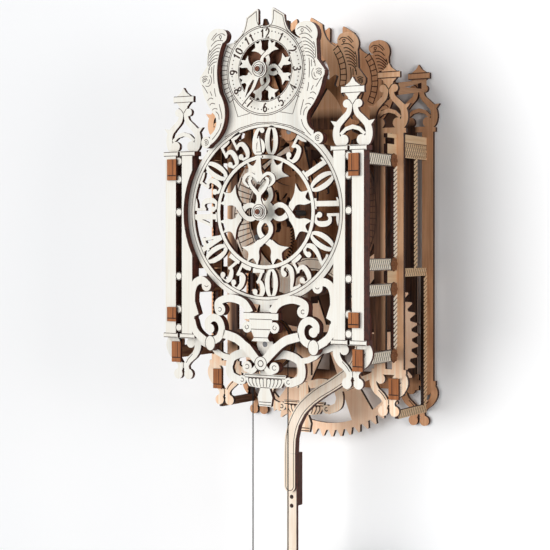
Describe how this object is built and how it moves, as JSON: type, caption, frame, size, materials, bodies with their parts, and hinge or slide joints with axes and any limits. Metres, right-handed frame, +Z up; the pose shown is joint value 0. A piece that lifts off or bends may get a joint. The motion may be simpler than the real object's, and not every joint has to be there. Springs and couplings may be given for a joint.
{
  "type": "wooden gear clock",
  "caption": "Wall-hung clock of fretted plywood plates with an open wooden gear train, separate minute and hour dials, a curved-arm pendulum and a weight on a cord.",
  "frame": {"origin": "centre of the hook hole at the rear face of the back plate, where the wall is", "axes": "+Z up, +Y into the wall along the hook hole, +X to the right as the dials are read; the dials face -Y"},
  "size_m": [0.1764, 0.1216, 0.4744],
  "materials": {
    "birch_ply": "matte",
    "tan_ply": "matte",
    "clip_wood": "matte",
    "dark_wood": "matte",
    "steel": "satin",
    "cord": "matte"
  },
  "bodies": {
    "frame": {"front_panel": "birch_ply", "front_trim": "birch_ply", "minute_dial": "birch_ply", "hour_dial": "birch_ply", "motion_cock": "tan_ply", "middle_plate": "tan_ply", "back_plate": "tan_ply", "crest_wings": "birch_ply", "upper_frames": "birch_ply", "lower_frames": "birch_ply", "rear_frames": "tan_ply", "top_struts": "tan_ply", "rosettes": "birch_ply", "side_blocks": "tan_ply", "tenon_clips": "clip_wood", "pendulum_bridge": "tan_ply", "cord_wrap": "cord"},
    "minute": {"minute_arbor": "steel", "minute_pinion": "tan_ply", "centre_wheel": "tan_ply", "motion_pinion": "tan_ply", "minute_hand": "birch_ply", "minute_cap": "birch_ply"},
    "great": {"great_arbor": "steel", "great_wheel": "tan_ply", "click_plate": "tan_ply", "click": "tan_ply"},
    "pulley": {"cord_pulley": "tan_ply", "ratchet_wheel": "tan_ply"},
    "third": {"third_arbor": "steel", "third_pinion": "tan_ply", "third_wheel": "tan_ply"},
    "escape": {"escape_arbor": "steel", "escape_pinion": "tan_ply", "escape_wheel": "tan_ply"},
    "motion": {"motion_arbor": "steel", "motion_wheel": "tan_ply", "motion_leaf": "tan_ply"},
    "hour": {"hour_arbor": "steel", "hour_wheel": "tan_ply", "hour_hand": "birch_ply", "hour_cap": "birch_ply"},
    "pendulum": {"pendulum_arbor": "steel", "anchor": "tan_ply", "pendulum_arm": "birch_ply", "arm_backing": "birch_ply", "pendulum_rod": "birch_ply", "rod_clamp": "dark_wood", "bob_face": "birch_ply", "bob_disc": "birch_ply", "bob_lead": "steel"},
    "weight": {"weight_cord": "cord", "weight_hook": "birch_ply", "drive_weight": "birch_ply", "weight_fill": "steel"},
    "ring": {"pull_cord": "cord", "pull_ring": "birch_ply"}
  },
  "joints": [
    {"name": "minute_turn", "type": "hinge", "parent": "frame", "child": "minute", "pos_m": [0, -0.116, -0.074], "axis": [0, 1, 0], "continuous": true},
    {"name": "great_turn", "type": "hinge", "parent": "frame", "child": "great", "pos_m": [0, -0.116, -0.169], "axis": [0, 1, 0], "continuous": true},
    {"name": "third_turn", "type": "hinge", "parent": "frame", "child": "third", "pos_m": [-0.04172, -0.116, -0.05714], "axis": [0, 1, 0], "continuous": true},
    {"name": "escape_turn", "type": "hinge", "parent": "frame", "child": "escape", "pos_m": [-0.04172, -0.116, -0.09214], "axis": [0, 1, 0], "continuous": true},
    {"name": "motion_turn", "type": "hinge", "parent": "frame", "child": "motion", "pos_m": [0.01804, -0.116, -0.01678], "axis": [0, 1, 0], "continuous": true},
    {"name": "hour_turn", "type": "hinge", "parent": "frame", "child": "hour", "pos_m": [0, -0.116, 0.0277], "axis": [0, 1, 0], "continuous": true},
    {"name": "pendulum_swing", "type": "hinge", "parent": "frame", "child": "pendulum", "pos_m": [0, -0.116, -0.116], "axis": [0, 1, 0], "range_deg": [-4, 4]},
    {"name": "weight_lift", "type": "slide", "parent": "frame", "child": "weight", "axis": [0, 0, 1], "range_m": [-0.1, 0.09], "deforming": ["weight_cord"]},
    {"name": "ring_lift", "type": "slide", "parent": "frame", "child": "ring", "axis": [0, 0, 1], "range_m": [-0.09, 0.1], "deforming": ["pull_cord"]},
    {"name": "pulley_turn", "type": "hinge", "parent": "frame", "child": "pulley", "pos_m": [0, -0.116, -0.169], "axis": [0, 1, 0], "range_deg": [-390, 351]}
  ],
  "couplings": [
    {"joint": "great_turn", "follows": "minute_turn", "ratio": -0.26667},
    {"joint": "third_turn", "follows": "minute_turn", "ratio": -8},
    {"joint": "escape_turn", "follows": "minute_turn", "ratio": 48},
    {"joint": "motion_turn", "follows": "minute_turn", "ratio": -0.25},
    {"joint": "hour_turn", "follows": "minute_turn", "ratio": 0.083333},
    {"joint": "ring_lift", "follows": "weight_lift", "ratio": -1},
    {"joint": "pulley_turn", "follows": "weight_lift", "rad_per_m": 67.797}
  ]
}
